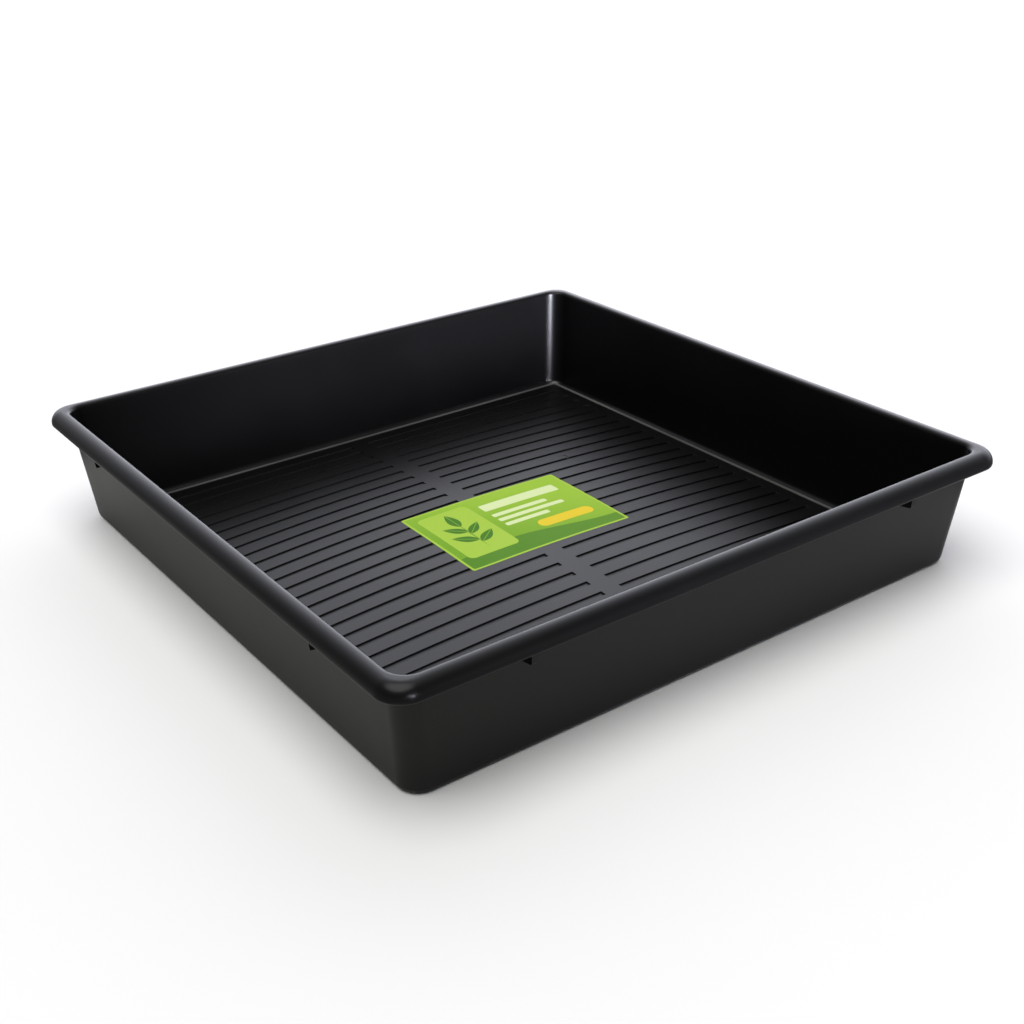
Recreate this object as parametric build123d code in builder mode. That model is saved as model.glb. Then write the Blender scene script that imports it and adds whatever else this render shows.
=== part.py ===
"""A square garden tray: one moulding with a rolled rim and a crowned, grooved floor, and a label in it.

Millimetres. +Z is up, the origin is on the ground under the middle of the tray, and the grooves run along X.
"""
import os
from math import radians, tan

from build123d import *

# Overall sizes, over the outside of the rim
tray_length = 800.0  # along X
tray_width = 800.0  # along Y
tray_height = 140.0

# Walls and floor
wall_thickness = 2.8
wall_draft = 6.0  # degrees that each wall leans outwards
wall_corner_radius = 24.0  # outside of the upright corners
floor_thickness = 3.0
floor_fillet = 5.5  # inside, where the walls meet the floor

# Rolled rim, from the inner face of the wall outwards
rim_land = 6.0  # top between the inner face and the roll
rim_shoulder_radius = 6.0  # inner top edge
rim_roll_radius = 14.0
lip_straight = 0.6  # upright part of the lip, below the roll
lip_curl = 3.4  # radius at which the lip turns in at its end
rim_skin = 2.8
rim_cove_radius = 3.0  # under the rim, where it meets the wall
rim_corner_radius = 30.0  # outside of the rim's corners

# Crowned floor panel inside a flat border, on which the tray stands
crown_border = 8.0
crown_rise = 18.0

# Grooves across the floor, in two halves beside a smooth strip
groove_pitch = 25.5
groove_width = 7.0
groove_depth = 1.7
groove_margin = 14.0  # from the edge of the crowned panel
strip_width = 25.0

# Short cross mark left by the mould on one land of the floor
mark_length = 14.0
mark_width = 4.0
mark_depth = 0.8
mark_x = 184.0
mark_y = 109.0

# Stacking lugs, two under the rim of each side
lug_setback = 148.0  # from the end of the side to the middle of the lug
lug_thickness = 5.6
lug_edge = 4.0  # from the outside of the rim to the lug's outer edge
lug_drop = 10.5  # below the lip, at its outer edge
lug_lean = 2.5  # further drop, at the wall

# Label, laid on the crowned floor
label_length = 226.0
label_width = 157.0
label_thickness = 0.3
label_corner_radius = 3.0
label_x = 14.0
label_y = -6.0
label_turn = -0.8  # degrees, not quite square to the tray
adhesive_gap = 0.1

# Sizes that follow from the ones above
draft_slope = tan(radians(wall_draft))
rim_width = rim_land + rim_roll_radius
rim_depth = rim_roll_radius + lip_straight + lip_curl
lip_level = tray_height - rim_depth
floor_inset = rim_width + (tray_height - floor_thickness) * draft_slope
crown_inset = floor_inset + floor_fillet + crown_border
crown_half_x = tray_length / 2 - crown_inset
crown_half_y = tray_width / 2 - crown_inset
above_floor = floor_thickness + 2 * crown_rise


def wall_inset(level: float, face_inset: float) -> float:
    """Distance from the rim's outside to a drafted wall face, at one height."""
    return face_inset + (tray_height - level) * draft_slope


def drafted_block(
    low: float, high: float, face_inset: float, corner_radius: float, edge_radius: float
) -> Part:
    """Block inside four drafted faces, with upright corners of one radius and a rounded lower edge."""
    with BuildPart() as block:
        for level in (low, high):
            inset = wall_inset(level, face_inset)
            with BuildSketch(Plane.XY.offset(level)):
                RectangleRounded(tray_length - 2 * inset, tray_width - 2 * inset, corner_radius)
        loft(ruled=True)
        fillet(block.faces().sort_by(Axis.Z)[0].edges(), edge_radius)
    return block.part


def rim_block(inset: float) -> Part:
    """Block inside the rim's outline, drawn in by inset all round, with the roll above and the curl below."""
    with BuildPart() as block:
        with BuildSketch(Plane.XY.offset(lip_level + inset)):
            RectangleRounded(tray_length - 2 * inset, tray_width - 2 * inset, rim_corner_radius - inset)
        extrude(amount=rim_depth - 2 * inset)
        fillet(block.faces().sort_by(Axis.Z)[-1].edges(), rim_roll_radius - inset)
        fillet(block.faces().sort_by(Axis.Z)[0].edges(), lip_curl - inset)
    return block.part


def crowned_block(lift: float, foot: float) -> Part:
    """Solid under the floor's crowned surface, raised by lift, down to a flat foot."""
    rows = (-crown_half_x, 0, crown_half_x)
    columns = (-crown_half_y, 0, crown_half_y)
    net = [[Vector(x, y, lift) for y in columns] for x in rows]
    # A quarter of the raised middle of the net reaches the surface
    net[1][1] += Vector(0, 0, 4 * crown_rise)
    with BuildPart() as block:
        extrude(Face.make_bezier_surface(net), amount=2 * above_floor, dir=(0, 0, -1))
        split(bisect_by=Plane.XY.offset(foot), keep=Keep.TOP)
    return block.part


def lug(plane: Plane, half_span: float) -> Part:
    """One stacking lug between wall and lip, drawn across the rim: distance from the middle, then height."""
    inside_wall = rim_width - wall_thickness / 2
    inside_rim = tray_height - rim_skin / 2
    roll_middle = (half_span - rim_roll_radius, tray_height - rim_roll_radius)
    lug_foot = lip_level - lug_drop - lug_lean
    with BuildPart() as fin:
        with BuildSketch(plane):
            with BuildLine():
                roll = CenterArc(roll_middle, rim_roll_radius - rim_skin / 2, 0, 90)
                Polyline(
                    roll @ 0,
                    (half_span - rim_skin / 2, lip_level + lip_curl),
                    (half_span - lug_edge, lip_level + rim_skin / 2),
                    (half_span - lug_edge, lip_level - lug_drop),
                    (half_span - wall_inset(lug_foot, inside_wall), lug_foot),
                    (half_span - wall_inset(inside_rim, inside_wall), inside_rim),
                    roll @ 1,
                )
            make_face()
        extrude(amount=lug_thickness / 2, both=True)
    return fin.part


# Rim: a rounded cap, hollow from below, with its lip turned in round the mouth of the hollow
with BuildPart() as rim:
    add(rim_block(0))
    add(rim_block(rim_skin), mode=Mode.SUBTRACT)
    with BuildSketch(Plane.XY.offset(lip_level)):
        RectangleRounded(tray_length - 2 * lip_curl, tray_width - 2 * lip_curl, rim_corner_radius - lip_curl)
    extrude(amount=rim_depth / 2, mode=Mode.SUBTRACT)

# Everything that is cut into the crowned floor
with BuildPart() as grooves:
    reach_x = crown_half_x - groove_margin
    reach_y = crown_half_y - groove_margin
    groove_length = reach_x - strip_width / 2
    groove_rows = 2 * int(reach_y / groove_pitch) + 1
    with BuildSketch():
        with GridLocations(groove_length + strip_width, groove_pitch, 2, groove_rows):
            Rectangle(groove_length, groove_width)
    extrude(amount=above_floor)
    add(crowned_block(floor_thickness - groove_depth, 0), mode=Mode.SUBTRACT)
with BuildPart() as mark:
    with BuildSketch():
        with Locations((mark_x, mark_y)):
            SlotOverall(mark_length, mark_width, rotation=90)
    extrude(amount=above_floor)
    add(crowned_block(floor_thickness - mark_depth, 0), mode=Mode.SUBTRACT)

# Tray: walls and rim, hollowed, with the lugs and the crowned floor
outside = drafted_block(
    low=0,
    high=tray_height,
    face_inset=rim_width - wall_thickness,
    corner_radius=wall_corner_radius,
    edge_radius=floor_fillet + wall_thickness,
)
hollow = drafted_block(
    low=floor_thickness,
    high=tray_height + rim_skin,
    face_inset=rim_width,
    corner_radius=wall_corner_radius - wall_thickness,
    edge_radius=floor_fillet,
)
with BuildPart() as tray:
    add(outside)
    add(rim.part)
    under_rim = tray.faces().filter_by(Plane.XY).sort_by(Axis.Z)[-2]
    fillet(under_rim.inner_wires()[0].edges(), rim_cove_radius)
    for turn, half_span, half_side in (
        (0, tray_length / 2, tray_width / 2),
        (90, tray_width / 2, tray_length / 2),
        (180, tray_length / 2, tray_width / 2),
        (270, tray_width / 2, tray_length / 2),
    ):
        outward = Vector(1, 0, 0).rotate(Axis.Z, turn)
        along = Vector(0, 1, 0).rotate(Axis.Z, turn)
        for place in (lug_setback - half_side, half_side - lug_setback):
            add(lug(Plane(along * place, x_dir=outward, z_dir=-along), half_span))
    add(hollow, mode=Mode.SUBTRACT)
    fillet(tray.faces().sort_by(Axis.Z)[-1].inner_wires()[0].edges(), rim_shoulder_radius)
    add(crowned_block(floor_thickness, floor_thickness / 2))
    add(crowned_block(0, -floor_thickness), mode=Mode.SUBTRACT)
    add(grooves.part, mode=Mode.SUBTRACT)
    add(mark.part, mode=Mode.SUBTRACT)

# Label: a sheet that follows the crown of the floor
label_seat = floor_thickness + adhesive_gap
with BuildPart() as label:
    with BuildSketch():
        with Locations(Location((label_x, label_y), label_turn)):
            RectangleRounded(label_length, label_width, label_corner_radius)
    extrude(amount=above_floor)
    add(crowned_block(label_seat + label_thickness, 0), mode=Mode.INTERSECT)
    add(crowned_block(label_seat, 0), mode=Mode.SUBTRACT)

os.makedirs("parts", exist_ok=True)
tray.part.label = "tray"
label.part.label = "label"
export_step(tray.part, "parts/tray.step")
export_step(label.part, "parts/label.step")
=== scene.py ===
"""The looks of a square garden tray: one black moulding with a crowned, grooved floor, and a label in it.

Sizes are in millimetres unless a name says otherwise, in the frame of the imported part: +Z is up, the origin
is on the ground under the middle of the tray, and the floor's grooves run along X.
"""

import logging
import math
from dataclasses import dataclass
from enum import Enum

import bmesh
import bpy
import numpy as np
from bpy.types import ID, Material, Mesh, Node, NodeOutputs, NodeTree, Object
from bpy.types import NodeSocket as Socket
from mathutils import Euler, Matrix, Vector
from mathutils.geometry import delaunay_2d_cdt


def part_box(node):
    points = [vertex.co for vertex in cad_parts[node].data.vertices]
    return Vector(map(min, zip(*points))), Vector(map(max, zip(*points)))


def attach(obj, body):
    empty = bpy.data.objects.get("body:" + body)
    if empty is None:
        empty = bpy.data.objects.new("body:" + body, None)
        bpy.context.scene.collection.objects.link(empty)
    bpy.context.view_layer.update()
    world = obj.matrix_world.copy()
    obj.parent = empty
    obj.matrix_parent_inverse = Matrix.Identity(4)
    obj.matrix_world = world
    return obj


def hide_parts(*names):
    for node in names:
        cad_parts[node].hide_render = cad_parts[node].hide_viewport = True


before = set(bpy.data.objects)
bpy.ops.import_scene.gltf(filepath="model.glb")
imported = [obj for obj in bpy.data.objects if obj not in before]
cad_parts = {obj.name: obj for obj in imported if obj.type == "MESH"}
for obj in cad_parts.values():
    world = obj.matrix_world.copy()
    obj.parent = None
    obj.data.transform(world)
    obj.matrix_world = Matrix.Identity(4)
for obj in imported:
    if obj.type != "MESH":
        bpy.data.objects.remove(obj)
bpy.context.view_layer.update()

MM = 0.001
log = logging.getLogger("garden_tray")

Colour = tuple[float, float, float]
Span = tuple[float, float]
Section = list[Span]
Value = Socket | float


class Side(Enum):
    """The four sides of the tray: how far along and how far out, as X and Y."""

    FRONT = ((1, 0), (0, -1))
    RIGHT = ((0, 1), (1, 0))
    BACK = ((-1, 0), (0, 1))
    LEFT = ((0, -1), (-1, 0))

    def place(self, along: np.ndarray, out: np.ndarray) -> tuple[np.ndarray, np.ndarray]:
        """Turns distances along the side and out from the middle of the tray into X and Y."""
        (ax, ay), (ox, oy) = self.value
        return along * ax + out * ox, along * ay + out * oy

    @property
    def runs_along_x(self) -> bool:
        """Whether the side runs along X."""
        return self in (Side.FRONT, Side.BACK)


def smooth_rise(low: float, high: float, value: np.ndarray) -> np.ndarray:
    """Eases values from 0 at low to 1 at high."""
    t = np.clip((value - low) / (high - low), 0, 1)
    return t * t * (3 - 2 * t)


def arc(centre: Span, radius: float, start: float, end: float, steps: int) -> Section:
    """Points of an arc in the tray's section, as inset and level, from one angle in degrees to another."""
    angles = np.radians(np.linspace(start, end, steps + 1))
    return [(centre[0] + radius * math.cos(a), centre[1] + radius * math.sin(a)) for a in angles]


def slab_distance(x: np.ndarray, y: np.ndarray, half_x: float, half_y: float, radius: float) -> np.ndarray:
    """Signed distance from a rectangle with rounded corners round the origin, negative inside.

    Args:
        x: Distances along X from its middle.
        y: Distances along Y from its middle.
        half_x: Half of its length along X.
        half_y: Half of its length along Y.
        radius: Radius of its corners.

    Returns:
        The signed distances.
    """
    qx = np.abs(x) - (half_x - radius)
    qy = np.abs(y) - (half_y - radius)
    outside = np.hypot(np.maximum(qx, 0), np.maximum(qy, 0))
    return outside + np.minimum(np.maximum(qx, qy), 0) - radius


def heading(azimuth: float, elevation: float) -> Vector:
    """Direction of unit length, by degrees from +X towards +Y and degrees above the ground."""
    across, up = math.radians(azimuth), math.radians(elevation)
    return Vector((math.cos(up) * math.cos(across), math.cos(up) * math.sin(across), math.sin(up)))


def new_object(name: str, data: ID) -> Object:
    """Puts a mesh, a light or a camera into the scene.

    Args:
        name: Name of the object.
        data: The mesh, light or camera.

    Returns:
        The new object.
    """
    made = bpy.data.objects.new(name, data)
    bpy.context.scene.collection.objects.link(made)
    return made


def new_light(name: str, kind: str, strength: float, tone: Colour) -> Object:
    """Puts a light into the scene.

    Args:
        name: Name of the light.
        kind: Its type name in Blender.
        strength: Its strength, in Blender's unit for that type.
        tone: Its colour.

    Returns:
        The light.
    """
    data = bpy.data.lights.new(name, kind)
    data.energy = strength
    data.color = tone
    return new_object(name, data)


class MeshSheet:
    """Collects points and faces of one mesh, in millimetres."""

    TOUCHING = 1e-6

    def __init__(self) -> None:
        """Starts with no points and no faces."""
        self.blocks: list[np.ndarray] = []
        self.faces: list[tuple[int, ...]] = []
        self.count = 0

    def points(self, block: np.ndarray) -> np.ndarray:
        """Adds points.

        Args:
            block: Array whose last axis is X, Y and Z.

        Returns:
            The numbers of the new points, in the block's own layout.
        """
        flat = block.reshape(-1, 3)
        numbers = np.arange(self.count, self.count + len(flat)).reshape(block.shape[:-1])
        self.blocks.append(flat)
        self.count += len(flat)
        return numbers

    def quads(self, numbers: np.ndarray, closed: bool = False) -> None:
        """Adds the quads between the rows of a grid of points.

        Args:
            numbers: Numbers of the points, in rows.
            closed: Whether each row runs round to its own start.
        """
        after = np.roll(numbers, -1, axis=1) if closed else numbers[:, 1:]
        before = numbers if closed else numbers[:, :-1]
        corners = (before[:-1], after[:-1], after[1:], before[1:])
        self.faces += [tuple(q) for q in np.stack(corners, axis=-1).reshape(-1, 4).tolist()]

    def flat_ring(self, outer: np.ndarray, inner: np.ndarray) -> None:
        """Fills the flat ring between two loops of points.

        Args:
            outer: Numbers of the outer loop's points, in order.
            inner: Numbers of the inner loop's points, in order.
        """
        placed = np.concatenate(self.blocks)
        loops = np.concatenate([outer, inner])
        spots = [Vector(placed[n][:2]) for n in loops]
        edges = []
        for start, loop in ((0, outer), (len(outer), inner)):
            edges += [(start + i, start + (i + 1) % len(loop)) for i in range(len(loop))]
        _, _, faces, sources, _, _ = delaunay_2d_cdt(spots, edges, [], 0, self.TOUCHING)
        for face in faces:
            used = [sources[n][0] for n in face]
            if min(used) < len(outer):
                self.faces.append(tuple(int(loops[n]) for n in used))

    def finish(self, name: str, sharp_degrees: float) -> Mesh:
        """Makes the mesh, with its faces turned outwards and shaded smooth.

        Args:
            name: Name of the mesh.
            sharp_degrees: Edges that turn by more than this stay sharp.

        Returns:
            The new mesh, in metres.
        """
        mesh = bpy.data.meshes.new(name)
        mesh.from_pydata((np.concatenate(self.blocks) * MM).tolist(), [], self.faces)
        work = bmesh.new()
        work.from_mesh(mesh)
        bmesh.ops.recalc_face_normals(work, faces=work.faces)
        work.to_mesh(mesh)
        work.free()
        mesh.polygons.foreach_set("use_smooth", [True] * len(mesh.polygons))
        mesh.set_sharp_from_angle(angle=math.radians(sharp_degrees))
        mesh.update()
        return mesh


class NodeDesk:
    """Writes shader nodes into one node tree."""

    def __init__(self, tree: NodeTree) -> None:
        """Takes the tree that the nodes go into."""
        self.tree = tree

    def node(self, kind: str, **settings: object) -> Node:
        """Adds a node.

        Args:
            kind: The node's type name in Blender.
            settings: Properties of the node to set.

        Returns:
            The new node.
        """
        made = self.tree.nodes.new(kind)
        for name, value in settings.items():
            setattr(made, name, value)
        return made

    def feed(self, socket: Socket, value: object) -> None:
        """Links a socket to another one, or sets its value.

        Args:
            socket: The socket to feed.
            value: The other socket, or the value.
        """
        if isinstance(value, Socket):
            self.tree.links.new(value, socket)
        else:
            socket.default_value = value

    def fill(self, made: Node, **values: object) -> NodeOutputs:
        """Feeds the inputs of a node.

        Args:
            made: The node.
            values: Its inputs by name, with underscores for spaces.

        Returns:
            The node's outputs.
        """
        for name, value in values.items():
            self.feed(made.inputs[name.replace("_", " ")], value)
        return made.outputs

    def group(self, tree: NodeTree, **values: object) -> NodeOutputs:
        """Places a node group with values for its inputs."""
        return self.fill(self.node("ShaderNodeGroup", node_tree=tree), **values)

    def spot(self) -> Socket:
        """The place on the piece, in metres."""
        return self.node("ShaderNodeTexCoord").outputs["Object"]

    def split(self, place: Socket) -> NodeOutputs:
        """Takes a place apart into X, Y and Z."""
        return self.fill(self.node("ShaderNodeSeparateXYZ"), Vector=place)

    def math(self, operation: str, *values: Value, clamp: bool = False) -> Socket:
        """Adds one step of arithmetic.

        Args:
            operation: The operation's name in Blender.
            values: Sockets or numbers to work on.
            clamp: Whether the result is kept between 0 and 1.

        Returns:
            The result's socket.
        """
        made = self.node("ShaderNodeMath", operation=operation, use_clamp=clamp)
        for socket, value in zip(made.inputs, values):
            self.feed(socket, value)
        return made.outputs[0]

    def times(self, first: Value, second: Value) -> Socket:
        """Multiplies two values."""
        return self.math("MULTIPLY", first, second)

    def plus(self, first: Value, second: Value) -> Socket:
        """Adds two values."""
        return self.math("ADD", first, second)

    def minus(self, first: Value, second: Value) -> Socket:
        """Takes the second value from the first."""
        return self.math("SUBTRACT", first, second)

    def rise(self, value: Value, low: float, high: float) -> Socket:
        """Eases a value from 0 at low to 1 at high."""
        made = self.node("ShaderNodeMapRange", interpolation_type="SMOOTHSTEP")
        return self.fill(made, Value=value, From_Min=low, From_Max=high)["Result"]

    def fall(self, value: Value, low: float, high: float) -> Socket:
        """Eases a value from 1 at low to 0 at high."""
        return self.minus(1.0, self.rise(value, low, high))

    def spread(self, value: Value, low: float, high: float) -> Socket:
        """Spreads a value from 0..1 over low..high."""
        made = self.node("ShaderNodeMapRange")
        return self.fill(made, Value=value, To_Min=low, To_Max=high)["Result"]

    def band(self, value: Value, start: Span, end: Span) -> Socket:
        """Marks a band of values, with one edge that fades in over start and one that fades out over end."""
        return self.times(self.rise(value, *start), self.fall(value, *end))

    def reach(self, place: Socket) -> Socket:
        """Measures how far out of the middle of a square a place is, towards the nearest side."""
        ways = self.split(place)
        return self.math("MAXIMUM", *(self.math("ABSOLUTE", ways[axis]) for axis in ("X", "Y")))

    def mix(self, share: Value, first: Socket | Colour, second: Socket | Colour) -> Socket:
        """Mixes two colours.

        Args:
            share: How much of the second colour.
            first: Socket or colour.
            second: Socket or colour.

        Returns:
            The mixed colour's socket.
        """
        made = self.node("ShaderNodeMix", data_type="RGBA")
        colours = [s for s in made.inputs if s.type == "RGBA"]
        self.feed(made.inputs[0], share)
        for socket, colour in zip(colours, (first, second)):
            self.feed(socket, colour if isinstance(colour, Socket) else (*colour, 1.0))
        return next(s for s in made.outputs if s.type == "RGBA")

    def noise(self, place: Socket, scale: Value, detail: float = 2.0, rough: float = 0.5) -> Socket:
        """Reads a noise with so many waves per unit of place, finer layers, and strength of these layers."""
        made = self.node("ShaderNodeTexNoise")
        return self.fill(made, Vector=place, Scale=scale, Detail=detail, Roughness=rough)["Fac"]

    def stretched(self, place: Socket, turn: float, stretch: Colour) -> Socket:
        """Turns and stretches a place.

        Args:
            place: Socket with the place.
            turn: Turn about Z, in degrees.
            stretch: Factors along X, Y and Z after the turn.

        Returns:
            The new place's socket.
        """
        turned = self.node("ShaderNodeVectorRotate", rotation_type="Z_AXIS")
        made = self.node("ShaderNodeVectorMath", operation="MULTIPLY")
        self.feed(made.inputs[0], self.fill(turned, Vector=place, Angle=math.radians(turn))[0])
        made.inputs[1].default_value = stretch
        return made.outputs[0]


class EffectGroups:
    """Shader node groups that more than one finish or print uses, each built once."""

    # Turn of the scuffs in degrees, and their waves per metre along X, Y and Z
    SCUFF_WAYS = (
        (12.0, (9.0, 900.0, 500.0)),
        (-63.0, (14.0, 1100.0, 420.0)),
        (84.0, (8.0, 760.0, 640.0)),
    )
    CLOUD_SHARE = 0.55
    SPECK_SHARE = 0.45
    LEAF_SWELL = 0.8

    def __init__(self) -> None:
        """Builds every group."""
        self.grain = self._grain()
        self.scuffs = self._scuffs()
        self.dust = self._dust()
        self.panel = self._panel()
        self.leaf = self._leaf()

    @staticmethod
    def _open(name: str, inputs: dict[str, float | None], outputs: tuple[str, ...]) -> tuple:
        """Starts a group.

        Args:
            name: Name of the group.
            inputs: Default of each input, or None for a place.
            outputs: Names of the outputs, which are all values.

        Returns:
            The group, its desk, its input sockets by name and its output node.
        """
        group = bpy.data.node_groups.new(name, "ShaderNodeTree")
        for label, default in inputs.items():
            kind = "NodeSocketVector" if default is None else "NodeSocketFloat"
            made = group.interface.new_socket(label, in_out="INPUT", socket_type=kind)
            if default is not None:
                made.default_value = default
        for label in outputs:
            group.interface.new_socket(label, in_out="OUTPUT", socket_type="NodeSocketFloat")
        desk = NodeDesk(group)
        given = desk.node("NodeGroupInput").outputs
        return group, desk, given, desk.node("NodeGroupOutput")

    def _grain(self) -> NodeTree:
        """Fine grain of a moulded or coated surface over slow waves.

        Returns:
            The group, with a height in millimetres and the grain alone.
        """
        sizes = {"Grain size mm": 0.8, "Grain height mm": 0.01, "Wave size mm": 90.0, "Wave height mm": 0.1}
        outputs = ("Height mm", "Grain")
        group, desk, given, out = self._open("surface_grain", {"Place": None, **sizes}, outputs)
        per_grain = desk.math("DIVIDE", 1 / MM, given["Grain size mm"])
        per_wave = desk.math("DIVIDE", 1 / MM, given["Wave size mm"])
        grain = desk.noise(given["Place"], per_grain, detail=3.0, rough=0.55)
        wave = desk.noise(given["Place"], per_wave, detail=1.0, rough=0.4)
        fine = desk.times(grain, given["Grain height mm"])
        slow = desk.times(wave, given["Wave height mm"])
        desk.fill(out, Height_mm=desk.plus(fine, slow), Grain=grain)
        return group

    def _scuffs(self) -> NodeTree:
        """Fine straight scuffs from handling and stacking, in patches.

        Returns:
            The group, with a mask.
        """
        group, desk, given, out = self._open("handling_scuffs", {"Place": None, "Amount": 0.5}, ("Mask",))
        total = None
        for turn, stretch in self.SCUFF_WAYS:
            line = desk.noise(desk.stretched(given["Place"], turn, stretch), 1.0, detail=1.0)
            thin = desk.rise(line, 0.66, 0.74)
            total = thin if total is None else desk.math("MAXIMUM", total, thin)
        patch = desk.rise(desk.noise(given["Place"], 11.0, detail=3.0, rough=0.6), 0.48, 0.68)
        worn = desk.times(total, patch)
        desk.fill(out, Mask=desk.math("MULTIPLY", worn, given["Amount"], clamp=True))
        return group

    def _dust(self) -> NodeTree:
        """Thin dust that settles on faces that look up.

        Returns:
            The group, with a mask.
        """
        group, desk, given, out = self._open("settled_dust", {"Place": None, "Amount": 0.3}, ("Mask",))
        facing = desk.split(desk.node("ShaderNodeNewGeometry").outputs["Normal"])
        upward = desk.rise(facing["Z"], 0.35, 0.98)
        cloud = desk.rise(desk.noise(given["Place"], 7.0, detail=4.0, rough=0.62), 0.30, 0.85)
        speck = desk.rise(desk.noise(given["Place"], 1500.0, rough=0.6), 0.62, 0.80)
        film = desk.plus(desk.times(cloud, self.CLOUD_SHARE), desk.times(speck, self.SPECK_SHARE))
        settled = desk.times(film, upward)
        desk.fill(out, Mask=desk.math("MULTIPLY", settled, given["Amount"], clamp=True))
        return group

    def _panel(self) -> NodeTree:
        """A printed bar or panel with round corners, on a label measured in millimetres.

        Returns:
            The group, with a mask.
        """
        sizes = {"Middle across": 0.0, "Middle up": 0.0, "Half across": 10.0, "Half up": 2.0, "Corner": 1.0}
        inputs = {"Across": 0.0, "Up": 0.0, **sizes}
        group, desk, given, out = self._open("printed_panel", inputs, ("Mask",))
        reach = []
        for way in ("across", "up"):
            away = desk.math("ABSOLUTE", desk.minus(given[way.capitalize()], given[f"Middle {way}"]))
            reach.append(desk.minus(away, desk.minus(given[f"Half {way}"], given["Corner"])))
        beyond = [desk.math("MAXIMUM", r, 0.0) for r in reach]
        outside = desk.math("SQRT", desk.plus(*(desk.times(b, b) for b in beyond)))
        inside = desk.math("MINIMUM", desk.math("MAXIMUM", *reach), 0.0)
        distance = desk.minus(desk.plus(outside, inside), given["Corner"])
        desk.fill(out, Mask=desk.fall(distance, -0.22, 0.22))
        return group

    def _leaf(self) -> NodeTree:
        """A pointed printed leaf that grows from its foot at an angle.

        Returns:
            The group, with a mask and the midrib's mask.
        """
        sizes = {"Foot across": 0.0, "Foot up": 0.0, "Angle": 0.0, "Length": 30.0, "Half width": 6.0}
        inputs = {"Across": 0.0, "Up": 0.0, **sizes}
        group, desk, given, out = self._open("printed_leaf", inputs, ("Mask", "Midrib"))
        dx = desk.minus(given["Across"], given["Foot across"])
        dy = desk.minus(given["Up"], given["Foot up"])
        cosine = desk.math("COSINE", given["Angle"])
        sine = desk.math("SINE", given["Angle"])
        along = desk.plus(desk.times(dx, cosine), desk.times(dy, sine))
        beside = desk.minus(desk.times(dy, cosine), desk.times(dx, sine))
        share = desk.math("DIVIDE", along, given["Length"], clamp=True)
        swell = desk.math("SINE", desk.times(desk.math("POWER", share, self.LEAF_SWELL), math.pi))
        edge = desk.times(swell, given["Half width"])
        side = desk.math("ABSOLUTE", beside)
        mask = desk.rise(desk.minus(edge, side), -0.15, 0.3)
        within = desk.rise(desk.times(share, desk.minus(1.0, share)), 0.0, 0.02)
        rib = desk.fall(side, 0.25, 0.7)
        desk.fill(out, Mask=desk.times(mask, within), Midrib=desk.times(rib, within))
        return group


def new_material(name: str) -> tuple[Material, NodeDesk, Node]:
    """Starts a material.

    Args:
        name: Name of the material.

    Returns:
        The material, its desk and its Principled BSDF.
    """
    material = bpy.data.materials.new(name)
    material.use_nodes = True
    desk = NodeDesk(material.node_tree)
    shader = next(n for n in material.node_tree.nodes if n.type == "BSDF_PRINCIPLED")
    return material, desk, shader


@dataclass(frozen=True)
class SurfaceGrain:
    """Fine grain over slow waves on a surface, by their sizes and heights."""

    size: float
    height: float
    wave_size: float
    wave_height: float

    def apply(self, desk: NodeDesk, shader: Node, effects: EffectGroups, place: Socket) -> Socket:
        """Gives a finish its grain.

        Args:
            desk: Where the nodes go.
            shader: The finish's shader.
            effects: The shared node groups.
            place: Socket with the place on the piece.

        Returns:
            The socket with the grain alone, from 0 to 1.
        """
        grain = desk.group(
            effects.grain,
            Place=place,
            Grain_size_mm=self.size,
            Grain_height_mm=self.height,
            Wave_size_mm=self.wave_size,
            Wave_height_mm=self.wave_height,
        )
        bump = desk.node("ShaderNodeBump")
        raised = desk.fill(bump, Strength=1.0, Distance=MM, Height=grain["Height mm"])
        desk.feed(shader.inputs["Normal"], raised["Normal"])
        return grain["Grain"]


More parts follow.
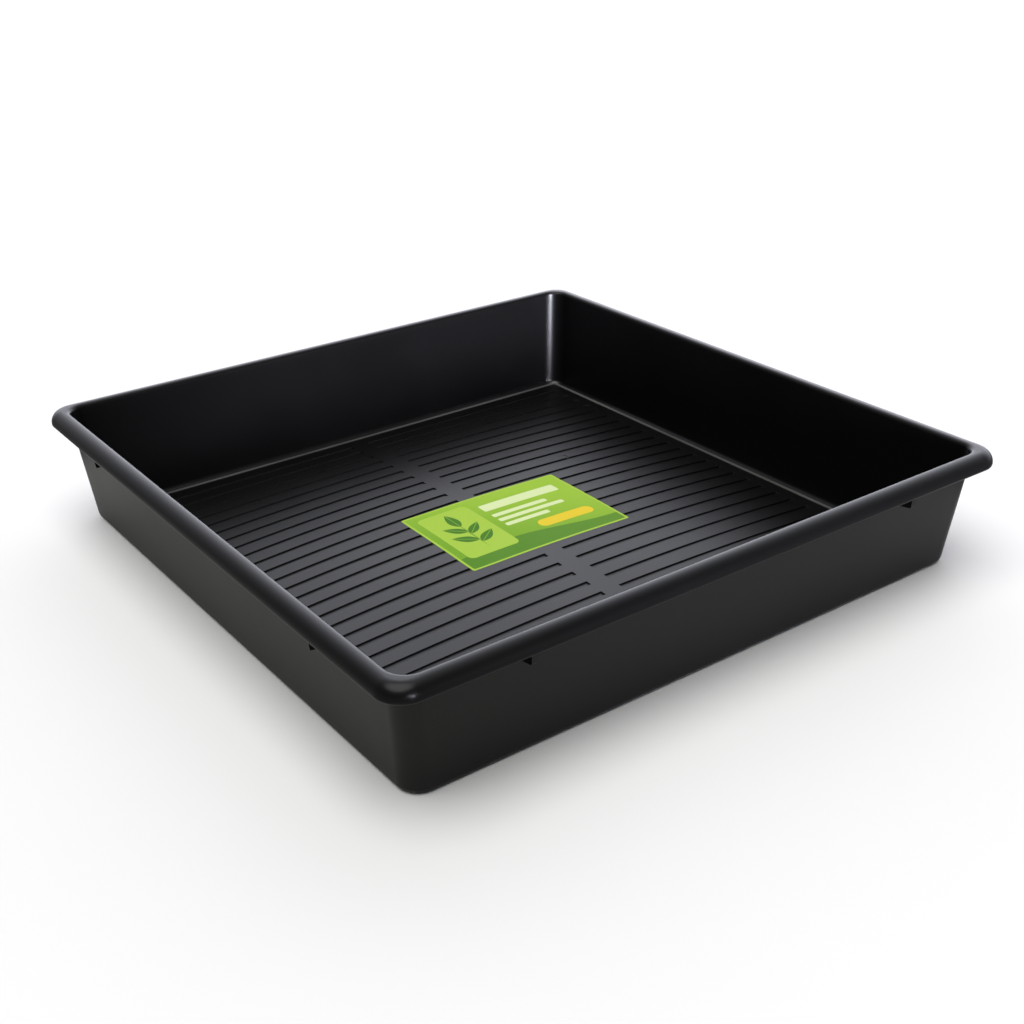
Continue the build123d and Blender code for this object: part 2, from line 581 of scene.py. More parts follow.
@dataclass(frozen=True)
class BlackPlastic:
    """Satin black moulded polypropylene, lightly handled. Places are distances out of the tray's middle."""

    tone: Colour = (0.0012, 0.0012, 0.0014)
    dust_tone: Colour = (0.10, 0.098, 0.092)
    scuff_tone: Colour = (0.009, 0.009, 0.0095)
    seam_tone: Colour = (0.30, 0.295, 0.285)
    roughness: float = 0.31
    panel_roughness: float = 0.40
    panel_end: Span = (356.0, 363.0)
    seam_start: Span = (354.5, 357.5)
    seam_end: Span = (359.5, 362.5)
    above_ground: Span = (1.2, 2.2)
    seam_top: Span = (4.5, 6.5)
    dust_amount: float = 0.03
    scuff_amount: float = 0.55
    cloud_change: float = 0.05
    grain_change: float = 0.03
    scuff_change: float = 0.10
    dust_change: float = 0.35
    refraction: float = 1.49
    grain: SurfaceGrain = SurfaceGrain(size=0.9, height=0.006, wave_size=70.0, wave_height=0.10)

    def material(self, effects: EffectGroups) -> Material:
        """Makes the finish.

        Args:
            effects: The shared node groups.

        Returns:
            The material.
        """
        material, desk, shader = new_material("black_plastic")
        place = desk.spot()
        scuffs = desk.group(effects.scuffs, Place=place, Amount=self.scuff_amount)["Mask"]
        dust = desk.group(effects.dust, Place=place, Amount=self.dust_amount)["Mask"]
        reach = desk.math("DIVIDE", desk.reach(place), MM)
        dusty = desk.mix(dust, desk.mix(scuffs, self.tone, self.scuff_tone), self.dust_tone)
        # Pale colour in a fine line on the floor along the foot of the walls
        seam = self._seam_line(desk, place, reach)
        desk.feed(shader.inputs["Base Color"], desk.mix(seam, dusty, self.seam_tone))
        grain = self.grain.apply(desk, shader, effects, place)
        cloud = desk.noise(place, 5.0, detail=3.0, rough=0.55)
        rough = desk.spread(desk.rise(reach, *self.panel_end), self.panel_roughness, self.roughness)
        rough = desk.plus(rough, desk.spread(cloud, -self.cloud_change, self.cloud_change))
        rough = desk.plus(rough, desk.spread(grain, -self.grain_change, self.grain_change))
        rough = desk.plus(rough, desk.times(scuffs, self.scuff_change))
        rough = desk.math("ADD", rough, desk.times(dust, self.dust_change), clamp=True)
        desk.feed(shader.inputs["Roughness"], rough)
        shader.inputs["IOR"].default_value = self.refraction
        return material

    def _seam_line(self, desk: NodeDesk, place: Socket, reach: Socket) -> Socket:
        """Marks a fine pale line, in patches, on the floor along the foot of the walls.

        Args:
            desk: Where the nodes go.
            place: Socket with the place on the tray.
            reach: Socket with its distance out of the middle, in millimetres.

        Returns:
            The mask's socket.
        """
        height = desk.math("DIVIDE", desk.split(place)["Z"], MM)
        low = desk.band(height, self.above_ground, self.seam_top)
        line = desk.band(reach, self.seam_start, self.seam_end)
        patches = desk.spread(desk.noise(place, 6.0, detail=3.0), 0.1, 1.0)
        return desk.times(desk.times(line, low), patches)


@dataclass(frozen=True)
class PrintedPanel:
    """A bar or panel on the label: its middle, half its size, and its corner radius."""

    middle: Span
    half: Span
    corner: float = 2.5


@dataclass(frozen=True)
class PrintedLeaf:
    """A leaf on the label: its foot, its angle in degrees, its length, and half its width."""

    foot: Span
    angle: float
    length: float
    half_width: float


@dataclass(frozen=True)
class PrintedPaper:
    """Printed and varnished label paper in fresh greens: a sprig at the left, plain bars at the right."""

    length: float
    width: float
    lime: Colour = (0.150, 0.320, 0.010)
    light_lime: Colour = (0.28, 0.46, 0.028)
    leaf_green: Colour = (0.045, 0.160, 0.006)
    pale: Colour = (0.32, 0.49, 0.045)
    cream: Colour = (0.60, 0.69, 0.36)
    yellow: Colour = (0.68, 0.50, 0.015)
    sweep: Span = (0.35, 1.75)
    hill_level: float = 30.0
    hill_rise: float = 9.0
    hill_wave: float = 46.0
    hill_share: float = 0.75
    sprig_panel: PrintedPanel = PrintedPanel((48.0, 84.0), (35.0, 60.0), 8.0)
    sprig: tuple[PrintedLeaf, ...] = (
        PrintedLeaf((48.0, 36.0), 90.0, 94.0, 1.0),
        PrintedLeaf((48.0, 52.0), 38.0, 34.0, 7.0),
        PrintedLeaf((48.0, 58.0), 142.0, 34.0, 7.0),
        PrintedLeaf((48.0, 76.0), 44.0, 32.0, 6.5),
        PrintedLeaf((48.0, 82.0), 136.0, 32.0, 6.5),
        PrintedLeaf((48.0, 98.0), 90.0, 38.0, 7.5),
    )
    midrib_share: float = 0.7
    bars: tuple[PrintedPanel, ...] = (
        PrintedPanel((150.0, 122.0), (56.0, 9.0)),
        PrintedPanel((134.0, 98.0), (40.0, 4.0)),
        PrintedPanel((142.0, 84.0), (48.0, 4.0)),
        PrintedPanel((126.0, 70.0), (32.0, 4.0)),
    )
    pill: PrintedPanel = PrintedPanel((166.0, 47.0), (40.0, 9.0), 9.0)
    edge: float = 3.0
    roughness: float = 0.58
    ink_shade: float = 0.10
    ink_change: float = 0.04
    scuff_change: float = 0.25
    dust_amount: float = 0.05
    scuff_amount: float = 0.4
    refraction: float = 1.46
    specular: float = 0.12
    grain: SurfaceGrain = SurfaceGrain(size=0.7, height=0.004, wave_size=26.0, wave_height=0.06)

    def material(self, effects: EffectGroups) -> Material:
        """Makes the finish.

        Args:
            effects: The shared node groups.

        Returns:
            The material.
        """
        material, desk, shader = new_material("label_paper")
        place = desk.spot()
        ink = desk.noise(place, 900.0, rough=0.6)
        shaded = desk.mix(desk.spread(ink, 0.0, self.ink_shade), self._print(desk, effects), self.leaf_green)
        dust = desk.group(effects.dust, Place=place, Amount=self.dust_amount)["Mask"]
        desk.feed(shader.inputs["Base Color"], desk.mix(dust, shaded, self.cream))
        scuffs = desk.group(effects.scuffs, Place=place, Amount=self.scuff_amount)["Mask"]
        rough = desk.plus(self.roughness, desk.times(scuffs, self.scuff_change))
        rough = desk.plus(rough, desk.spread(ink, -self.ink_change, self.ink_change))
        desk.feed(shader.inputs["Roughness"], rough)
        shader.inputs["IOR"].default_value = self.refraction
        shader.inputs["Specular IOR Level"].default_value = self.specular
        self.grain.apply(desk, shader, effects, place)
        return material

    def _print(self, desk: NodeDesk, effects: EffectGroups) -> Socket:
        """Prints the sheet: ground, hill, sprig, bars, pill and edge, each over the ones before it.

        Args:
            desk: Where the nodes go.
            effects: The shared node groups.

        Returns:
            The print's colour.
        """
        sheet = desk.split(desk.node("ShaderNodeUVMap", uv_map="print").outputs[0])
        spot = {"Across": desk.times(sheet["X"], self.length), "Up": desk.times(sheet["Y"], self.width)}

        def panel(shape: PrintedPanel) -> Socket:
            """Mask of one bar or panel."""
            (x, y), (half_x, half_y) = shape.middle, shape.half
            sizes = {"Middle_across": x, "Middle_up": y, "Half_across": half_x, "Half_up": half_y}
            return desk.group(effects.panel, **spot, **sizes, Corner=shape.corner)["Mask"]

        sweep = desk.rise(desk.plus(sheet["X"], sheet["Y"]), *self.sweep)
        colour = desk.mix(sweep, self.lime, self.light_lime)
        wave = desk.math("SINE", desk.math("DIVIDE", spot["Across"], self.hill_wave))
        hill = desk.plus(desk.times(wave, self.hill_rise), self.hill_level)
        below = desk.rise(desk.minus(hill, spot["Up"]), -0.4, 0.4)
        colour = desk.mix(desk.times(below, self.hill_share), colour, self.leaf_green)
        colour = desk.mix(panel(self.sprig_panel), colour, self.pale)
        for leaf in self.sprig:
            foot = {"Foot_across": leaf.foot[0], "Foot_up": leaf.foot[1], "Angle": math.radians(leaf.angle)}
            sizes = {"Length": leaf.length, "Half_width": leaf.half_width}
            drawn = desk.group(effects.leaf, **spot, **foot, **sizes)
            colour = desk.mix(drawn["Mask"], colour, self.leaf_green)
            midrib = desk.times(desk.times(drawn["Midrib"], drawn["Mask"]), self.midrib_share)
            colour = desk.mix(midrib, colour, self.light_lime)
        for bar in self.bars:
            colour = desk.mix(panel(bar), colour, self.cream)
        colour = desk.mix(panel(self.pill), colour, self.yellow)
        middle = (self.length / 2, self.width / 2)
        inner = PrintedPanel(middle, (middle[0] - self.edge, middle[1] - self.edge))
        return desk.mix(desk.minus(1.0, panel(inner)), colour, self.pale)


@dataclass(frozen=True)
class StudioFloor:
    """Plain pale matt floor, which the plastic mirrors in painted darker tones, a painted reflection that is
    darkest away from the tray.
    """

    tone: Colour = (0.78, 0.78, 0.775)
    patch_shade: float = 0.985
    patch_scale: float = 3.0
    painted_reflection_near: Colour = (0.34, 0.34, 0.325)
    painted_reflection_far: Colour = (0.12, 0.12, 0.12)
    near_end: float = 490.0
    far_start: float = 560.0
    roughness: float = 0.75
    specular: float = 0.2

    def material(self) -> Material:
        """Makes the floor's finish.

        Returns:
            The material.
        """
        material, desk, shader = new_material("studio_floor")
        place = desk.spot()
        darker = tuple(c * self.patch_shade for c in self.tone)
        seen = desk.mix(desk.noise(place, self.patch_scale), self.tone, darker)
        away = desk.rise(desk.reach(place), self.near_end * MM, self.far_start * MM)
        # Painted reflection: glossy rays see a darker floor, darker still away from the tray
        painted_reflection_tone = desk.mix(away, self.painted_reflection_near, self.painted_reflection_far)
        glossy = desk.node("ShaderNodeLightPath").outputs["Is Glossy Ray"]
        desk.feed(shader.inputs["Base Color"], desk.mix(glossy, seen, painted_reflection_tone))
        shader.inputs["Roughness"].default_value = self.roughness
        shader.inputs["Specular IOR Level"].default_value = self.specular
        return material


@dataclass
class TrayMoulding:
    """The tray itself, one moulding: crowned floor, drafted walls, rolled rim and stacking lugs."""

    length: float
    width: float
    height: float
    wall_thickness: float = 2.8
    wall_draft: float = 6.0
    wall_corner_radius: float = 24.0
    floor_thickness: float = 3.0
    floor_fillet: float = 5.5
    rim_land: float = 6.0
    rim_flat: float = 0.4
    rim_dome_radius: float = 9.0
    rim_dome_turn: float = 20.0
    rim_roll_radius: float = 14.0
    lip_straight: float = 0.6
    lip_curl: float = 3.4
    lip_turn: float = 68.0
    rim_skin: float = 2.8
    rim_cove_radius: float = 3.0
    rim_corner_radius: float = 30.0
    crown_border: float = 8.0
    crown_rise: float = 18.0
    groove_pitch: float = 25.5
    groove_width: float = 7.0
    groove_depth: float = 1.7
    groove_margin: float = 14.0
    groove_edge: float = 0.4  # half the width of its rounding
    groove_end_edge: float = 0.15  # the same at the strip
    groove_runout: float = 0.8  # length of the slope at the outer end
    strip_width: float = 25.0
    mark_length: float = 14.0
    mark_width: float = 4.0
    mark_depth: float = 0.8
    mark_x: float = 184.0
    mark_y: float = 109.0
    lug_setback: float = 148.0
    lug_thickness: float = 5.6
    lug_edge: float = 4.1
    lug_drop: float = 10.5
    lug_lean: float = 2.5
    lug_tip_round: float = 0.8
    lug_core: float = 0.8  # columns inside a lug, as a share of half its thickness
    lug_root: float = 0.35  # from a lug's face to the plain wall beside it
    lug_clearance: float = 3.0  # from a lug's face to the next plain column
    lug_to_corner: float = 44.0  # from a lug to the last plain column before the corner
    grid_gap: float = 12.0  # from a groove's ends to the even lines along it
    grid_lines: int = 19
    sharp_degrees: float = 42.0
    plain_columns: int = 27
    corner_steps: int = 18
    underside_steps: int = 44

    @classmethod
    def from_frame(cls, node: str) -> "TrayMoulding":
        """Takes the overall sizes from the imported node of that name."""
        low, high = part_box(node)
        return cls(*(round(v / MM, 3) for v in high - low))

    @property
    def slope(self) -> float:
        """How far a wall leans out per unit of height."""
        return math.tan(math.radians(self.wall_draft))

    @property
    def rim_width(self) -> float:
        """From the outside of the rim to the inner face of the wall, at the top."""
        return self.rim_land + self.rim_roll_radius

    @property
    def lip_level(self) -> float:
        """Height of the lower edge of the lip."""
        return self.height - self.rim_roll_radius - self.lip_straight - self.lip_curl

    @property
    def lug_foot(self) -> float:
        """Height at which a lug ends on the wall."""
        return self.lip_level - self.lug_drop - self.lug_lean

    @property
    def crown_inset(self) -> float:
        """From the outside of the rim to the edge of the crowned panel."""
        return self.inner_wall(self.floor_thickness) + self.floor_fillet + self.crown_border

    @property
    def crown_half(self) -> Span:
        """Half sizes of the crowned panel along X and Y."""
        return self.length / 2 - self.crown_inset, self.width / 2 - self.crown_inset

    @property
    def groove_span(self) -> Span:
        """Where the grooves of the right half start and end along X."""
        return self.strip_width / 2, self.crown_half[0] - self.groove_margin

    @property
    def rows_per_half(self) -> int:
        """Rows of grooves on either side of the middle row."""
        return int((self.crown_half[1] - self.groove_margin) / self.groove_pitch)

    def inner_wall(self, level: float) -> float:
        """Inset of the wall's inner face at a height."""
        return self.rim_width + (self.height - level) * self.slope

    def outer_wall(self, level: float) -> float:
        """Inset of the wall's outer face at a height."""
        return self.inner_wall(level) - self.wall_thickness

    def crown(self, x: np.ndarray, y: np.ndarray) -> np.ndarray:
        """How far the crown rises above its edge, at places on the floor."""
        half_x, half_y = self.crown_half
        return self.crown_rise * (1 - (x / half_x) ** 2) * (1 - (y / half_y) ** 2)

    def far_corner(self) -> Vector:
        """Middle of the upright inner corner at the back and right, in metres."""
        inset = self.inner_wall(self.height / 2)
        return Vector((self.length / 2 - inset, self.width / 2 - inset, self.height / 2)) * MM

    def groove_share(self, x: np.ndarray, y: np.ndarray, edge: float) -> np.ndarray:
        """How deep the grooves are at places on the floor, from 0 to 1.

        Args:
            x: Places along X.
            y: Places along Y.
            edge: How softly a groove's edges are rounded.

        Returns:
            The shares of the full depth.
        """
        row = np.clip(np.round(y / self.groove_pitch), -self.rows_per_half, self.rows_per_half)
        start, end = self.groove_span
        across = np.abs(y - row * self.groove_pitch) - self.groove_width / 2
        opens = smooth_rise(start - self.groove_end_edge, start + self.groove_end_edge, np.abs(x))
        closes = smooth_rise(end - self.groove_runout, end, np.abs(x))
        return opens * (1 - closes) * (1 - smooth_rise(-edge, edge, across))

    def floor_level(self, x: np.ndarray, y: np.ndarray) -> np.ndarray:
        """Height of the floor's upper face, with its grooves and its mould mark.

        Args:
            x: Places along X.
            y: Places along Y.

        Returns:
            The heights.
        """
        grooves = self.groove_depth * self.groove_share(x, y, self.groove_edge)
        half_width = self.mark_width / 2
        away = slab_distance(x - self.mark_x, y - self.mark_y, half_width, self.mark_length / 2, half_width)
        mark = self.mark_depth * (1 - smooth_rise(-self.groove_edge, self.groove_edge, away))
        return self.floor_thickness + self.crown(x, y) - np.maximum(grooves, mark)

    def shoulder(self) -> Section:
        """The rim's inner top edge, tight at the wall and then a slow dome up to the crest.

        Returns:
            The points as inset and level, from the wall up.
        """
        turn, upright = math.radians(self.rim_dome_turn), math.radians(90 - self.wall_draft)
        crest = (self.rim_roll_radius + self.rim_flat, self.height - self.rim_dome_radius)
        dome = arc(crest, self.rim_dome_radius, 90 - self.rim_dome_turn, 90, steps=7)
        inset, level = dome[0]
        reach = math.sin(upright) - math.sin(turn) - (math.cos(turn) - math.cos(upright)) * self.slope
        radius = (self.inner_wall(level) - inset) / reach
        heart = (inset - radius * math.sin(turn), level - radius * math.cos(turn))
        return arc(heart, radius, self.wall_draft, 90 - self.rim_dome_turn, steps=9) + dome[1:]

    def section(self) -> tuple[np.ndarray, int, int]:
        """The moulding's section from the floor's border over the rim to the underside's border.

        Returns:
            Rows of inset, level and corner radius, and the first and the last row that a lug covers.
        """
        draft = self.wall_draft
        lean = math.cos(math.radians(draft))
        inner_radius = self.wall_corner_radius - self.wall_thickness

        def between(start: float, end: float, count: int) -> np.ndarray:
            """Levels between two heights, without these."""
            return np.linspace(start, end, count)[1:-1]

        fillet = self.floor_fillet
        heart = self.floor_thickness + fillet
        inner = arc((self.inner_wall(heart) + fillet / lean, heart), fillet, 270, 180 + draft, steps=8)
        shoulder = self.shoulder()
        inner += [(self.inner_wall(z), z) for z in between(inner[-1][1], shoulder[0][1], 14)]
        inner += shoulder
        rows = [(d, z, inner_radius - (d - self.inner_wall(z))) for d, z in inner]

        roll = (self.rim_roll_radius, self.height - self.rim_roll_radius)
        curl = (self.lip_curl, self.lip_level + self.lip_curl)
        turn = 180 + self.lip_turn
        bead = self.rim_skin / 2
        rim = arc(roll, self.rim_roll_radius, 90, 180, steps=16)
        rim += arc(curl, self.lip_curl, 180, turn, steps=8)
        end = arc(curl, self.lip_curl - bead, turn, turn, steps=0)[0]
        first_lug_row = len(rows) + len(rim) + 1
        rim += arc(end, bead, turn, turn + 180, steps=8)[1:]
        rim += arc(curl, self.lip_curl - self.rim_skin, turn, 180, steps=5)[1:]
        rim += arc(roll, self.rim_roll_radius - self.rim_skin, 180, 90, steps=10)
        rows += [(d, z, self.rim_corner_radius - d) for d, z in rim]

        cove = self.rim_cove_radius
        heart = self.height - self.rim_skin - cove
        outer = arc((self.outer_wall(heart) - cove / lean, heart), cove, 90, draft, steps=7)
        outer += [(self.outer_wall(z), z) for z in between(outer[-1][1], self.lug_foot, 7)]
        outer.append((self.outer_wall(self.lug_foot), self.lug_foot))
        last_lug_row = len(rows) + len(outer) - 1
        foot = self.floor_fillet + self.wall_thickness
        heel = arc((self.outer_wall(foot) + foot / lean, foot), foot, 180 + draft, 270, steps=9)
        outer += [(self.outer_wall(z), z) for z in between(self.lug_foot, heel[0][1], 13)]
        outer += heel
        rows += [(d, z, self.wall_corner_radius - (d - self.outer_wall(z))) for d, z in outer]
        return np.array(rows), first_lug_row, last_lug_row

    def side_columns(self, half: float) -> tuple[np.ndarray, np.ndarray]:
        """Places along one side at which the rings have points, between the rounded ends.

        Args:
            half: Half of the side's length.

        Returns:
            The places, and which of them lie on a lug.
        """
        lug = half - self.lug_setback
        reach = lug + self.lug_to_corner
        thick = self.lug_thickness / 2
        core = thick * self.lug_core
        flank = np.array([core, thick, thick + self.lug_root, thick + self.lug_clearance])
        offsets = np.concatenate([-flank[::-1], [0], flank])
        plain = np.linspace(-reach, reach, self.plain_columns)
        plain = plain[np.abs(np.abs(plain) - lug) > 2 * self.lug_thickness]
        places = np.sort(np.concatenate([plain, offsets - lug, offsets + lug]))
        return places, np.abs(np.abs(places) - lug) < thick + self.lug_root / 2

    def rings(self) -> np.ndarray:
        """Points of every ring of the section, round the whole tray.

        Returns:
            Array of rings, points in a ring, and X, Y and Z.
        """
        section, first, last = self.section()
        tip, bevel = self.lip_level - self.lug_drop, self.lug_tip_round
        corners = [(self.lug_edge, tip + bevel), (self.lug_edge + bevel, tip)]
        path = np.array([section[first, :2], *corners, section[last, :2]])
        way = np.concatenate([[0], np.cumsum(np.hypot(*np.diff(path, axis=0).T))])
        steps = np.linspace(0, way[-1], last - first + 1)
        lug_inset = section[:, 0].copy()
        lug_level = section[:, 1].copy()
        lug_inset[first : last + 1] = np.interp(steps, way, path[:, 0])
        lug_level[first : last + 1] = np.interp(steps, way, path[:, 1])

        inset, level, radius = section.T
        turns = np.radians(np.arange(self.corner_steps) * 90 / self.corner_steps)
        columns = []
        for side in Side:
            half_along, half_out = self.length / 2, self.width / 2
            if not side.runs_along_x:
                half_along, half_out = half_out, half_along
            straight = half_along - inset - radius
            flush = half_out - inset
            places, on_lug = self.side_columns(half_along)
            strips = [(-straight, flush, level), ((places[0] - straight) / 2, flush, level)]
            for along, lug in zip(places, on_lug):
                spot = (half_out - lug_inset, lug_level) if lug else (flush, level)
                strips.append((np.full(len(section), along), *spot))
            strips.append(((places[-1] + straight) / 2, flush, level))
            for turn in turns:
                out = flush - radius + radius * math.cos(turn)
                strips.append((straight + radius * math.sin(turn), out, level))
            for along, out, height in strips:
                columns.append(np.stack([*side.place(along, out), height], axis=-1))
        return np.stack(columns, axis=1)

    def panel_lines(self) -> tuple[np.ndarray, np.ndarray]:
        """The lines that the floor's grid runs along: close at every groove, wide between them.

        Returns:
            X of the lines across the grooves, and Y of the lines along them.
        """
        edge = self.groove_edge
        half_x, half_y = self.crown_half
        tight = np.array([-2.6, -1.0, -0.4, 0.0, 0.4, 1.0, 2.6]) * edge
        start, end = self.groove_span
        tip = tight * self.groove_end_edge / edge
        # In the strip, at the grooves' start, along them, at their end, and in the border
        strip = [np.linspace(0, start - 3, 3), start + tip, [start + 2.4]]
        even = np.linspace(start + self.grid_gap, end - self.grid_gap, self.grid_lines)
        runout = end - np.linspace(0, 1.2, 9) * self.groove_runout
        positive = np.concatenate([*strip, even, runout, [half_x - 5, half_x]])
        mark = [self.mark_x + s * (self.mark_width / 2 + t) for s in (-1, 1) for t in tight]
        xs = np.concatenate([-positive, positive, mark, [self.mark_x]])
        wall = self.groove_width / 2
        across = np.concatenate([[0], wall + tight, [wall + 4.0, self.groove_pitch / 2]])
        rows = np.arange(-self.rows_per_half, self.rows_per_half + 1) * self.groove_pitch
        ys = (rows[:, None] + np.concatenate([-across, across])[None]).ravel()
        ys = np.concatenate([ys, self.mark_y + self.mark_length / 2 + tight, [-half_y, half_y]])
        return np.unique(np.round(xs, 4)), np.unique(np.round(ys[np.abs(ys) <= half_y], 4))

    @staticmethod
    def loop_of(numbers: np.ndarray) -> np.ndarray:
        """Numbers of the points along the edge of a grid, in order round it."""
        return np.concatenate([numbers[:-1, 0], numbers[-1, :-1], numbers[:0:-1, -1], numbers[0, :0:-1]])

    def build(self) -> Object:
        """Builds the moulding as one closed mesh.

        Returns:
            The new object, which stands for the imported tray.
        """
        sheet = MeshSheet()
        rings = sheet.points(self.rings())
        sheet.quads(rings, closed=True)
        x, y = np.meshgrid(*self.panel_lines(), indexing="ij")
        upper = sheet.points(np.stack([x, y, self.floor_level(x, y)], axis=-1))
        lines = (np.linspace(-half, half, self.underside_steps + 1) for half in self.crown_half)
        x, y = np.meshgrid(*lines, indexing="ij")
        lower = sheet.points(np.stack([x, y, self.crown(x, y)], axis=-1))
        for grid, ring in ((upper, rings[0]), (lower, rings[-1])):
            sheet.quads(grid)
            sheet.flat_ring(ring, self.loop_of(grid))
        tray = new_object("tray_moulding", sheet.finish("tray_moulding", self.sharp_degrees))
        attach(tray, "root")
        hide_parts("tray")
        return tray

    def dress(self, tray: Object, effects: EffectGroups) -> None:
        """Gives the built moulding its finish."""
        tray.data.materials.append(BlackPlastic().material(effects))


@dataclass
class FloorLabel:
    """The label, a sheet that is stuck down on the crowned floor."""

    tray: TrayMoulding
    length: float = 226.0
    width: float = 157.0
    thickness: float = 0.3
    corner_radius: float = 3.0
    x: float = 14.0
    y: float = -6.0
    turn: float = -0.8
    adhesive_gap: float = 0.1
    groove_dip: float = 0.09
    dip_edge: float = 1.8
    corner_lift: float = 0.35
    lift_start: float = 0.75
    sharp_degrees: float = 40.0
    corner_rows: int = 7
    straight_rows: int = 60
    columns: int = 84

    def build(self) -> Object:
        """Builds the label as a thin closed sheet.

        Returns:
            The new object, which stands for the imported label.
        """
        half_l, half_w, r = self.length / 2, self.width / 2, self.corner_radius
        round_end = half_w - r + r * np.sin(np.radians(np.linspace(0, 90, self.corner_rows)))
        straight = np.linspace(r - half_w, half_w - r, self.straight_rows + 2)[1:-1]
        lines = np.concatenate([-round_end[::-1], straight, round_end])
        cut = np.maximum(np.abs(lines) - (half_w - r), 0)
        reach = half_l - r + np.sqrt(np.maximum(r * r - cut * cut, 0))
        u = np.linspace(-1, 1, self.columns)[None] * reach[:, None]
        v = np.repeat(lines[:, None], u.shape[1], axis=1)
        turn = math.radians(self.turn)
        x = self.x + u * math.cos(turn) - v * math.sin(turn)
        y = self.y + u * math.sin(turn) + v * math.cos(turn)
        seat = self.tray.floor_thickness + self.tray.crown(x, y) + self.adhesive_gap
        dip = self.groove_dip * self.tray.groove_share(x, y, self.dip_edge)
        lift = self.corner_lift * smooth_rise(self.lift_start, 1.0, np.abs(u) / half_l * np.abs(v) / half_w)
        under = seat - dip + lift
        sheet = MeshSheet()
        top = sheet.points(np.stack([x, y, under + self.thickness], axis=-1))
        bottom = sheet.points(np.stack([x, y, under], axis=-1))
        sheet.quads(top)
        sheet.quads(bottom)
        sheet.quads(np.stack([TrayMoulding.loop_of(top), TrayMoulding.loop_of(bottom)]), closed=True)
        mesh = sheet.finish("floor_label", self.sharp_degrees)
        spots = np.concatenate([np.stack([u, v], axis=-1).reshape(-1, 2)] * 2)
        spots = spots / (self.length, self.width) + 0.5
        owners = np.zeros(len(mesh.loops), dtype=np.int32)
        mesh.loops.foreach_get("vertex_index", owners)
        mesh.uv_layers.new(name="print").data.foreach_set("uv", spots[owners].astype(np.float32).ravel())
        label = new_object("floor_label", mesh)
        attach(label, "root")
        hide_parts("label")
        # The dark walls show no mirror image of the label
        label.visible_glossy = False
        return label

    def dress(self, label: Object, effects: EffectGroups) -> None:
        """Gives the built label its print."""
        label.data.materials.append(PrintedPaper(self.length, self.width).material(effects))


@dataclass(frozen=True)
class CornerLamp:
    """Lamp in front of the tray whose soft beam falls on the far inner corner. Sizes are in metres."""

    azimuth: float = 268.0
    elevation: float = 10.6
    distance: float = 2.6
    radius: float = 0.5
    beam: float = 14.0
    softness: float = 1.0
    power: float = 2600.0
    tone: Colour = (0.86, 0.87, 1.0)

    def build(self, aim: Vector) -> Object:
        """Puts the lamp into the scene.

        Args:
            aim: Where the middle of the beam falls.

        Returns:
            The lamp.
        """
        light = new_light("light_corner", "SPOT", self.power, self.tone)
        light.data.shadow_soft_size = self.radius
        light.data.spot_size = math.radians(self.beam)
        light.data.spot_blend = self.softness
        light.location = heading(self.azimuth, self.elevation) * self.distance
        light.rotation_euler = (light.location - aim).to_track_quat("Z", "Y").to_euler()
        return light


@dataclass(frozen=True)
class OverheadLight:
    """A broad, even light from above."""

    name: str
    strength: float
    azimuth: float = 200.0
    elevation: float = 75.0
    spread: float = 60.0
    tone: Colour = (1.0, 0.995, 0.985)

    def build(self) -> Object:
        """Puts the light into the scene.

        Returns:
            The light.
        """
        light = new_light(self.name, "SUN", self.strength, self.tone)
        light.data.angle = math.radians(self.spread)
        light.rotation_euler = heading(self.azimuth, self.elevation).to_track_quat("Z", "Y").to_euler()
        return light


def shine_only_on(light: Object, pieces: tuple[Object, ...]) -> None:
    """Lets a light fall on some pieces alone. The others still throw a shadow in it.

    Args:
        light: The light.
        pieces: What it falls on.
    """
    lit = bpy.data.collections.new(f"lit_by_{light.name}")
    for piece in pieces:
        lit.objects.link(piece)
    light.light_linking.receiver_collection = lit


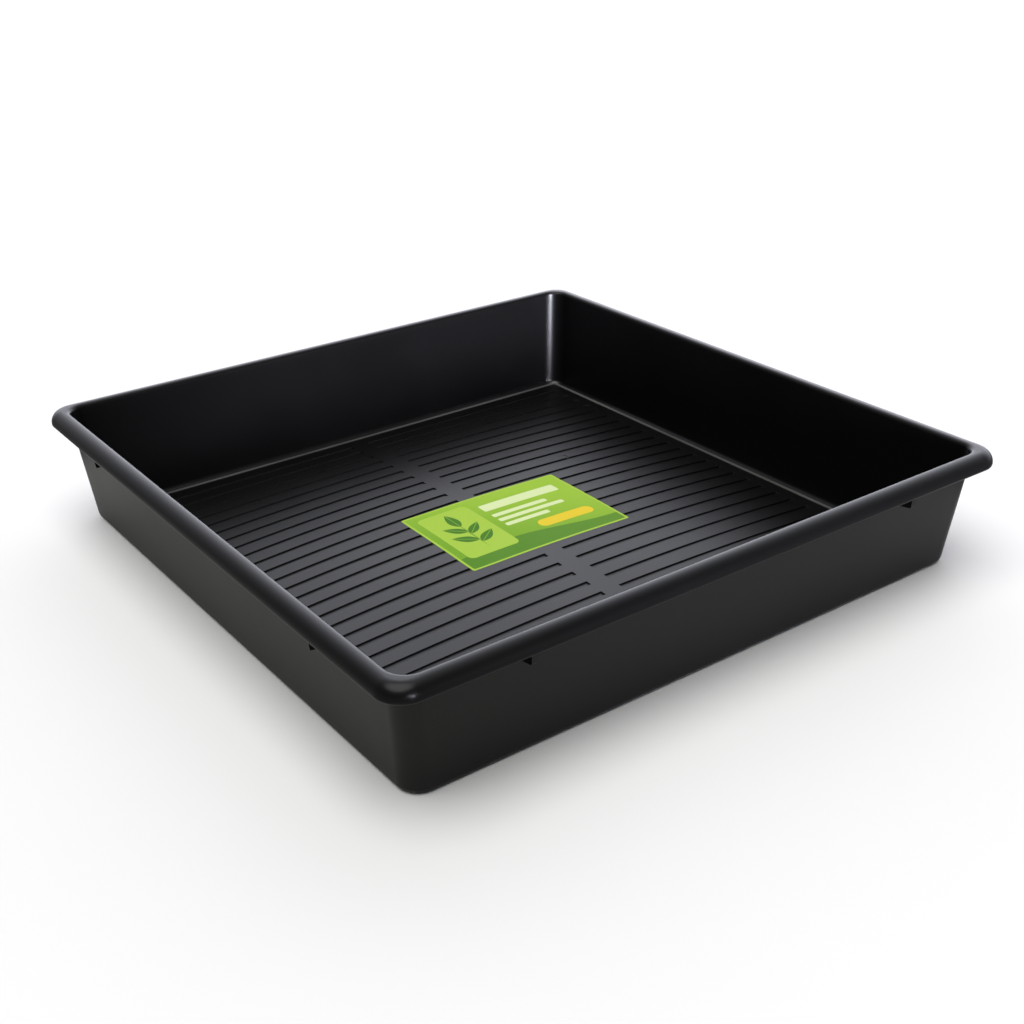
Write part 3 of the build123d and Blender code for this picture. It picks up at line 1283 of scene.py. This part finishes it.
@dataclass
class Studio:
    """Plain pale floor, three lights, and a room that is bright behind the tray. Sizes are in metres."""

    floor_size: float = 30.0
    floor_drop: float = 0.0006
    bright_azimuth: float = 46.0
    bright_elevation: float = 3.0
    room_tone: Colour = (0.12, 0.12, 0.12)
    back_tone: Colour = (2.58, 2.62, 2.90)
    back_narrowing: float = 2.5
    backdrop_tone: Colour = (0.96, 0.96, 0.96)
    overhead: OverheadLight = OverheadLight("light_overhead", 1.2)
    pale_overhead: OverheadLight = OverheadLight("light_pale_surfaces", 1.8)
    lamp: CornerLamp = CornerLamp()

    def build(self, tray: Object, label: Object, far_corner: Vector) -> None:
        """Builds the floor, the lights and the room.

        Args:
            tray: The tray, on which alone the lamp falls.
            label: The label, which shares most of the overhead light with the floor.
            far_corner: Middle of the tray's far inner corner.
        """
        half = self.floor_size / 2
        mesh = bpy.data.meshes.new("studio_floor")
        corners = [(-half, -half), (half, -half), (half, half), (-half, half)]
        mesh.from_pydata([(x, y, -self.floor_drop) for x, y in corners], [], [(0, 1, 2, 3)])
        mesh.materials.append(StudioFloor().material())
        floor = new_object("studio_floor", mesh)
        self.overhead.build()
        shine_only_on(self.pale_overhead.build(), (floor, label))
        shine_only_on(self.lamp.build(far_corner), (tray,))
        self._room()

    def _room(self) -> None:
        """Makes the room's light, dim all round and bright behind the tray, and the pale backdrop."""
        world = bpy.data.worlds.new("soft_room")
        bpy.context.scene.world = world
        world.use_nodes = True
        desk = NodeDesk(world.node_tree)
        shader = next(n for n in world.node_tree.nodes if n.type == "BACKGROUND")
        facing = desk.node("ShaderNodeVectorMath", operation="DOT_PRODUCT")
        desk.feed(facing.inputs[0], desk.node("ShaderNodeTexCoord").outputs["Generated"])
        facing.inputs[1].default_value = heading(self.bright_azimuth, self.bright_elevation)
        share = desk.math("POWER", desk.math("MAXIMUM", facing.outputs["Value"], 0.0), self.back_narrowing)
        room = desk.mix(share, self.room_tone, self.back_tone)
        looked_at = desk.node("ShaderNodeLightPath").outputs["Is Camera Ray"]
        desk.fill(shader, Color=desk.mix(looked_at, room, self.backdrop_tone), Strength=1.0)


@dataclass(frozen=True)
class PhotoCamera:
    """The camera, at the photograph's viewing angle. Distances are in metres, angles in degrees."""

    azimuth: float = -35.95
    elevation: float = 26.1
    roll: float = -1.02
    distance: float = 1.69262
    slide_across: float = 0.010928
    slide_up: float = 0.025896
    lift: float = 0.002
    focal_pixels: float = 1403.47
    image_pixels: float = 1024.0
    sensor_mm: float = 36.0

    def build(self) -> Object:
        """Puts the camera into the scene.

        Returns:
            The camera.
        """
        data = bpy.data.cameras.new("photo_camera")
        data.sensor_width = self.sensor_mm
        data.lens = self.focal_pixels / self.image_pixels * self.sensor_mm
        pitch, turn, roll = (math.radians(v) for v in (90 - self.elevation, self.azimuth, self.roll))
        facing = Euler((pitch, 0.0, turn)).to_matrix() @ Matrix.Rotation(roll, 3, "Z")
        place = facing @ Vector((self.slide_across, self.slide_up, self.distance))
        place.z += self.lift
        camera = new_object("photo_camera", data)
        camera.matrix_world = Matrix.Translation(place) @ facing.to_4x4()
        bpy.context.scene.camera = camera
        return camera


def main() -> None:
    """Builds and dresses every piece, then the studio and the camera."""
    logging.basicConfig(level=logging.INFO, format="%(name)s: %(message)s")
    bpy.context.scene.view_settings.view_transform = "Standard"
    effects = EffectGroups()
    moulding = TrayMoulding.from_frame("tray")
    tray = moulding.build()
    moulding.dress(tray, effects)
    log.info("tray moulding: %d faces", len(tray.data.polygons))
    sticker = FloorLabel(moulding)
    label = sticker.build()
    sticker.dress(label, effects)
    log.info("floor label: %d faces", len(label.data.polygons))
    Studio().build(tray, label, moulding.far_corner())
    PhotoCamera().build()
    log.info("studio and camera")


if __name__ == "__main__":
    main()
